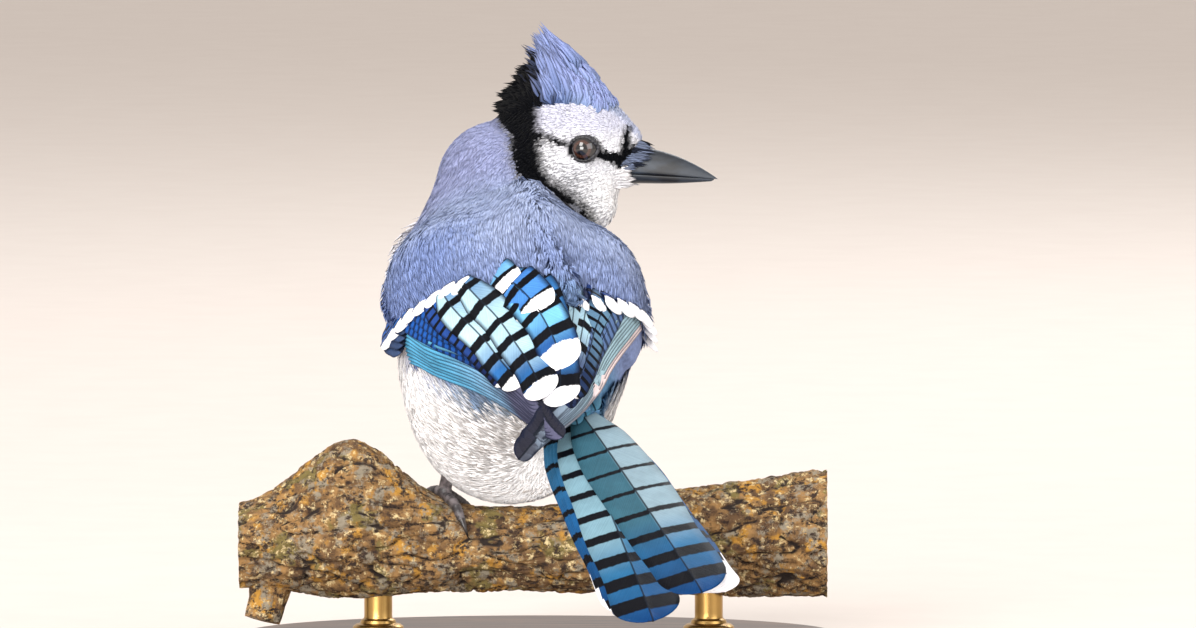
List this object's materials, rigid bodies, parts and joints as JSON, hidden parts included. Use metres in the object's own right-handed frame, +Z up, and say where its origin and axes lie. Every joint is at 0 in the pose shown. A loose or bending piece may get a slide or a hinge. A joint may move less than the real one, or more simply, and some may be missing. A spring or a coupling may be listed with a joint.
{
  "type": "perched blue jay",
  "caption": "Still life-size crested songbird in blue, white and black, looking back over its shoulder from a cut length of branch on a low display stand.",
  "frame": {"origin": "the middle of the stand base's flat underside", "axes": "+Z is up; +X runs along the perch, the way the bird's bill points; the bird's back and tail are towards -Y"},
  "size_m": [0.172, 0.197, 0.1761],
  "materials": {
    "mantle": "matte",
    "belly": "matte",
    "wing": "satin",
    "tail": "satin",
    "bill": "satin",
    "eye": "gloss",
    "leg": "satin",
    "bark": "rough",
    "base": "satin",
    "rod": "satin"
  },
  "bodies": {
    "root": {"torso": "mantle", "neck": "mantle", "head": "belly", "bill_upper": "bill", "bill_lower": "bill", "eye_left": "eye", "eye_right": "eye", "wing_left": "wing", "wing_right": "wing", "tail": "tail", "tarsus_left": "leg", "tarsus_right": "leg", "foot_left": "leg", "foot_right": "leg", "claw_left_1": "bill", "claw_left_2": "bill", "claw_left_3": "bill", "claw_left_4": "bill", "claw_right_1": "bill", "claw_right_2": "bill", "claw_right_3": "bill", "claw_right_4": "bill", "perch": "bark", "stand_base": "base", "stand_rod_left": "rod", "stand_rod_right": "rod"}
  },
  "joints": []
}
